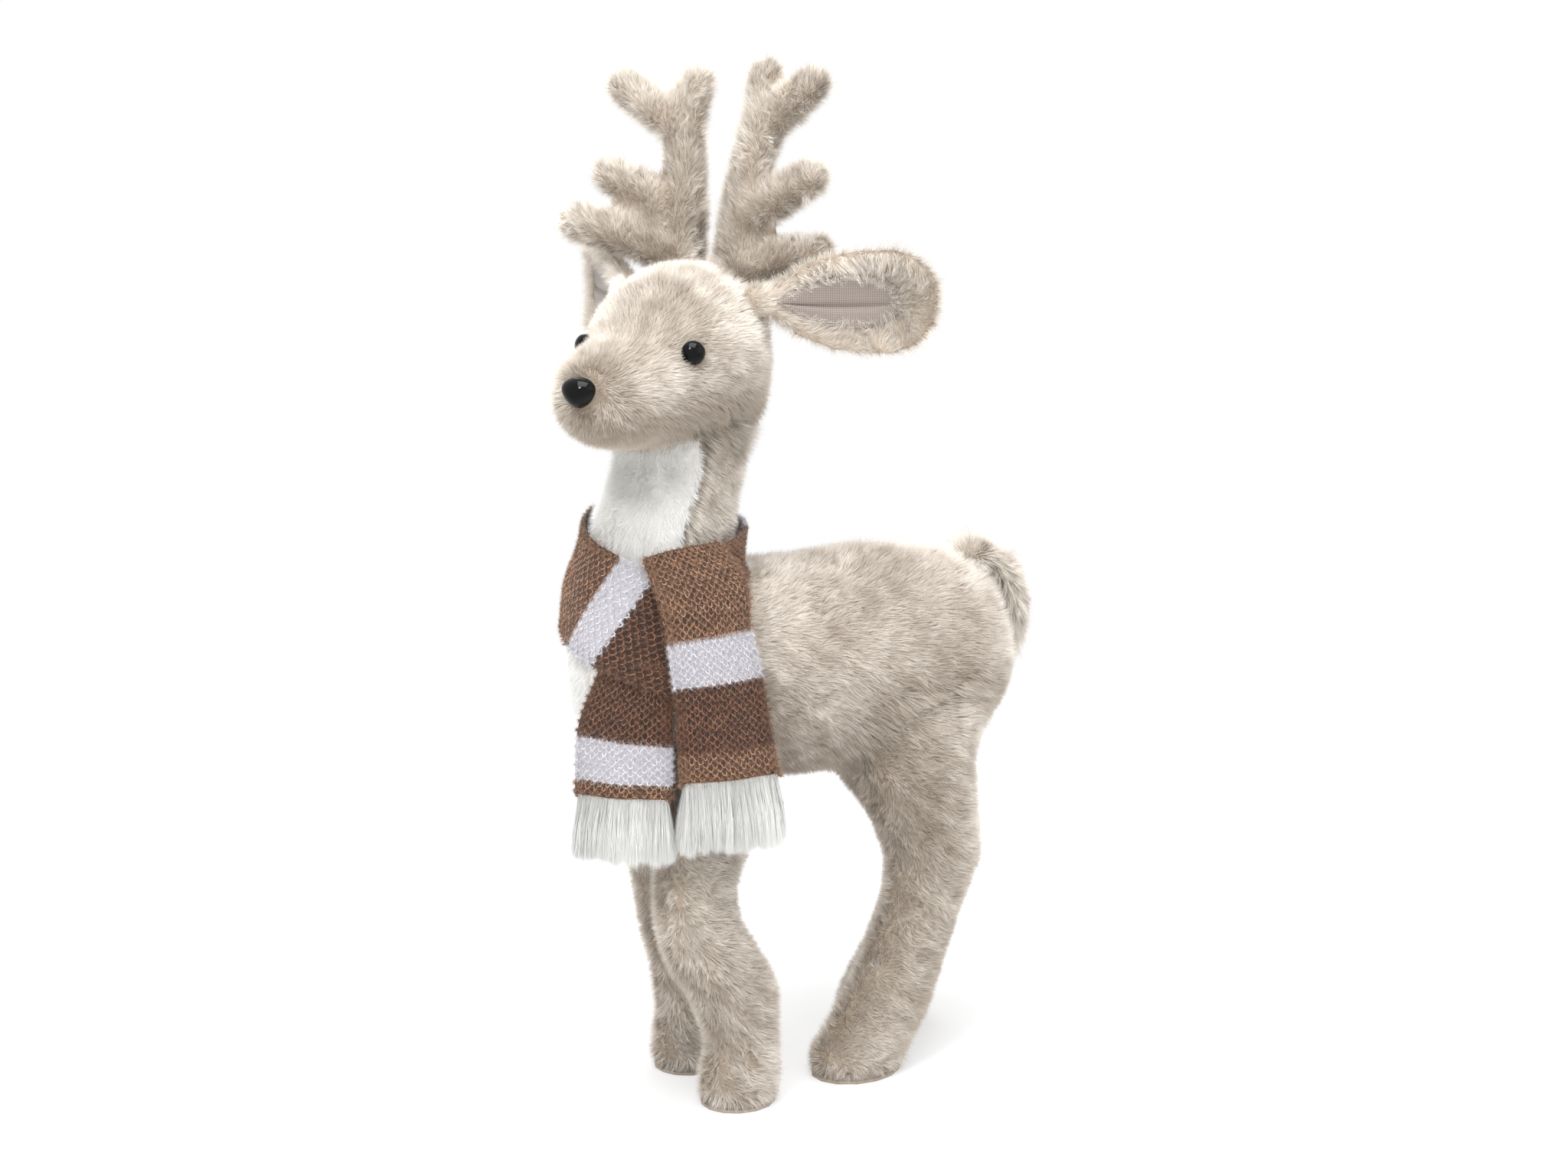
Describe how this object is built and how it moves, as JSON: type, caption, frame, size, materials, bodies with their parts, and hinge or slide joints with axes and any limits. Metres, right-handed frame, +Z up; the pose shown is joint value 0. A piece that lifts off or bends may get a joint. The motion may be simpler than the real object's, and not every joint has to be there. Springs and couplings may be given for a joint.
{
  "type": "plush deer",
  "caption": "Standing stuffed deer with soft antlers and a knitted scarf; the head turns, and the ears, tail and scarf ends move.",
  "frame": {"origin": "on the floor, under the middle of the deer's bounding box", "axes": "+Z up, the body faces -Y, the deer's left side is +X"},
  "size_m": [0.247, 0.3892, 0.6877],
  "materials": {
    "tan_plush": "short plush pile, pale tan with darker roots",
    "white_plush": "white plush pile",
    "sole_felt": "flat short-napped cloth",
    "woven_lining": "smooth taupe cloth with a fine weave",
    "brown_knit": "ribbed wool knit with broad brown and white bands",
    "black_plastic": "polished black",
    "washer_nylon": "natural moulded nylon",
    "steel": "plain drawn wire and stamped discs"
  },
  "bodies": {
    "root": {"torso": "tan_plush", "neck": "tan_plush", "chest_bib": "white_plush", "spine_wire": "steel", "scarf_loop": "brown_knit", "front_leg_left": "tan_plush", "front_leg_right": "tan_plush", "rear_leg_left": "tan_plush", "rear_leg_right": "tan_plush", "front_sole_left": "sole_felt", "front_sole_right": "sole_felt", "rear_sole_left": "sole_felt", "rear_sole_right": "sole_felt", "front_foot_weight_left": "steel", "front_foot_weight_right": "steel", "rear_foot_weight_left": "steel", "rear_foot_weight_right": "steel", "front_leg_wire_left": "steel", "front_leg_wire_right": "steel", "rear_leg_wire_left": "steel", "rear_leg_wire_right": "steel"},
    "head": {"head": "tan_plush", "antler_left": "tan_plush", "antler_right": "tan_plush", "eye_left": "black_plastic", "eye_right": "black_plastic", "nose": "black_plastic", "eye_washer_left": "washer_nylon", "eye_washer_right": "washer_nylon", "nose_washer": "washer_nylon"},
    "ear_left": {"ear_left": "tan_plush", "ear_lining_left": "woven_lining"},
    "ear_right": {"ear_right": "tan_plush", "ear_lining_right": "woven_lining"},
    "tail": {"tail": "tan_plush"},
    "scarf_left": {"scarf_end_left": "brown_knit", "scarf_trim_left": "white_plush"},
    "scarf_right": {"scarf_end_right": "brown_knit", "scarf_trim_right": "white_plush"}
  },
  "joints": [
    {"name": "head_turn", "type": "hinge", "parent": "root", "child": "head", "pos_m": [0.0386, -0.0808, 0.502], "axis": [0, 0, 1], "range_deg": [-70, 20]},
    {"name": "ear_left_flap", "type": "hinge", "parent": "head", "child": "ear_left", "pos_m": [0.07141, -0.0417, 0.53515], "axis": [0.9063, -0.4226, 0], "range_deg": [-15, 5], "stiffness_Nm_per_rad": 0.5},
    {"name": "ear_right_flap", "type": "hinge", "parent": "head", "child": "ear_right", "pos_m": [-0.01163, -0.08966, 0.53512], "axis": [0.2924, 0.9563, 0], "range_deg": [-15, 0], "stiffness_Nm_per_rad": 0.5},
    {"name": "tail_lift", "type": "hinge", "parent": "root", "child": "tail", "pos_m": [0.0386, 0.1402, 0.33683], "axis": [1, 0, 0], "range_deg": [0, 30]},
    {"name": "scarf_left_swing", "type": "hinge", "parent": "root", "child": "scarf_left", "pos_m": [0.08768, -0.10647, 0.37863], "axis": [-0.149, -0.9597, -0.2382], "range_deg": [0, 25]},
    {"name": "scarf_right_swing", "type": "hinge", "parent": "root", "child": "scarf_right", "pos_m": [0.07243, -0.14914, 0.31444], "axis": [-0.755, -0.6204, 0.2122], "range_deg": [0, 25]}
  ]
}
